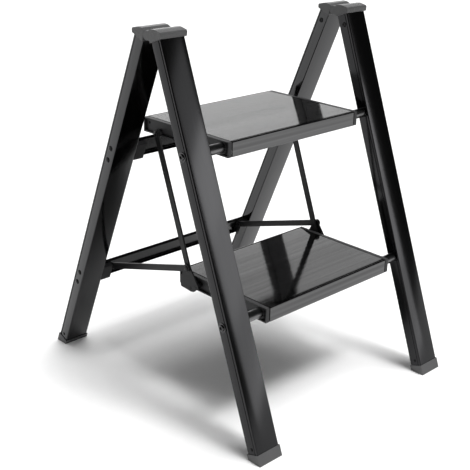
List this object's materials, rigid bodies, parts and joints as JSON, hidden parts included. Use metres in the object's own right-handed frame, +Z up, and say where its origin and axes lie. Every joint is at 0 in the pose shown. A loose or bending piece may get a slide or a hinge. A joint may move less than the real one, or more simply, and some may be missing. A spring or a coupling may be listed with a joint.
{
  "type": "folding two-step stool",
  "caption": "Folding step stool: an A-frame of box-section aluminium legs with flat boards that fold up between them on linked struts.",
  "frame": {"origin": "on the floor, in the middle of the stool's box when it stands open", "axes": "+Z up, -Y towards the side it is climbed from, +X to the right of a person who looks along +Y"},
  "size_m": [0.4646, 0.5556, 0.6298],
  "materials": {
    "anodised_aluminium": "black anodised, semi-gloss",
    "tread_aluminium": "black anodised, satin, fine ribbed",
    "plastic_moulding": "matt dark grey",
    "rubber_foot": "matt",
    "black_steel": "black, semi-gloss",
    "plain_steel": "plain"
  },
  "bodies": {
    "front_frame": {"front_leg_left": "anodised_aluminium", "front_leg_right": "anodised_aluminium", "front_foot_left": "rubber_foot", "front_foot_right": "rubber_foot", "front_foot_rivet_left": "black_steel", "front_foot_rivet_right": "black_steel", "front_head_left": "plastic_moulding", "front_head_right": "plastic_moulding", "hinge_pin_left": "plain_steel", "hinge_pin_right": "plain_steel", "top_axle": "anodised_aluminium", "lower_axle": "anodised_aluminium", "top_axle_stub_left": "black_steel", "top_axle_stub_right": "black_steel", "lower_axle_stub_left": "black_steel", "lower_axle_stub_right": "black_steel"},
    "rear_frame": {"rear_leg_left": "anodised_aluminium", "rear_leg_right": "anodised_aluminium", "rear_foot_left": "rubber_foot", "rear_foot_right": "rubber_foot", "rear_foot_rivet_left": "black_steel", "rear_foot_rivet_right": "black_steel", "rear_head_left": "plastic_moulding", "rear_head_right": "plastic_moulding", "upper_crossbar": "anodised_aluminium", "lower_crossbar": "anodised_aluminium", "upper_bar_block_left": "plastic_moulding", "upper_bar_block_right": "plastic_moulding", "lower_bar_block_left": "plastic_moulding", "lower_bar_block_right": "plastic_moulding", "brace_rear_pin_left": "plain_steel", "brace_rear_pin_right": "plain_steel", "upper_bar_rivet_left_1": "black_steel", "upper_bar_rivet_left_2": "black_steel", "upper_bar_rivet_right_1": "black_steel", "upper_bar_rivet_right_2": "black_steel", "lower_bar_rivet_left_1": "black_steel", "lower_bar_rivet_left_2": "black_steel", "lower_bar_rivet_right_1": "black_steel", "lower_bar_rivet_right_2": "black_steel"},
    "top_step": {"top_step_board": "tread_aluminium", "top_step_cap_left": "plastic_moulding", "top_step_cap_right": "plastic_moulding", "top_link_pin_left": "plain_steel", "top_link_pin_right": "plain_steel"},
    "lower_step": {"lower_step_board": "tread_aluminium", "lower_step_cap_left": "plastic_moulding", "lower_step_cap_right": "plastic_moulding", "lower_link_pin_left": "plain_steel", "lower_link_pin_right": "plain_steel", "brace_bracket_left": "black_steel", "brace_bracket_right": "black_steel", "bracket_bolt_left": "black_steel", "bracket_bolt_right": "black_steel"},
    "link_left_body": {"link_left": "black_steel"},
    "brace_left_body": {"brace_left": "black_steel", "brace_front_pin_left": "plain_steel"},
    "link_right_body": {"link_right": "black_steel"},
    "brace_right_body": {"brace_right": "black_steel", "brace_front_pin_right": "plain_steel"}
  },
  "joints": [
    {"name": "fold", "type": "hinge", "parent": "front_frame", "child": "rear_frame", "pos_m": [0, -0.02102, 0.6195], "axis": [-1, 0, 0], "range_deg": [0, 42]},
    {"name": "top_step_fold", "type": "hinge", "parent": "front_frame", "child": "top_step", "pos_m": [0, -0.09906, 0.451], "axis": [1, 0, 0], "range_deg": [0, 67]},
    {"name": "lower_step_fold", "type": "hinge", "parent": "front_frame", "child": "lower_step", "pos_m": [0, -0.18896, 0.204], "axis": [1, 0, 0], "range_deg": [0, 67]},
    {"name": "link_left_pivot", "type": "hinge", "parent": "lower_step", "child": "link_left_body", "pos_m": [-0.1548, -0.03496, 0.1945], "axis": [-1, 0, 0], "range_deg": [0, 67]},
    {"name": "link_right_pivot", "type": "hinge", "parent": "lower_step", "child": "link_right_body", "pos_m": [0.1548, -0.03496, 0.1945], "axis": [-1, 0, 0], "range_deg": [0, 67]},
    {"name": "brace_left_pivot", "type": "hinge", "parent": "rear_frame", "child": "brace_left_body", "pos_m": [-0.1609, 0.18532, 0.16489], "axis": [-1, 0, 0], "range_deg": [0, 37.24]},
    {"name": "brace_right_pivot", "type": "hinge", "parent": "rear_frame", "child": "brace_right_body", "pos_m": [0.1609, 0.18532, 0.16489], "axis": [-1, 0, 0], "range_deg": [0, 37.24]}
  ],
  "couplings": [
    {"joint": "top_step_fold", "follows": "fold", "ratio": 1.5952},
    {"joint": "lower_step_fold", "follows": "fold", "ratio": 1.5952},
    {"joint": "link_left_pivot", "follows": "fold", "ratio": 1.5952},
    {"joint": "link_right_pivot", "follows": "fold", "ratio": 1.5952},
    {"joint": "brace_left_pivot", "follows": "fold", "ratio": 0.8865},
    {"joint": "brace_right_pivot", "follows": "fold", "ratio": 0.8865}
  ]
}
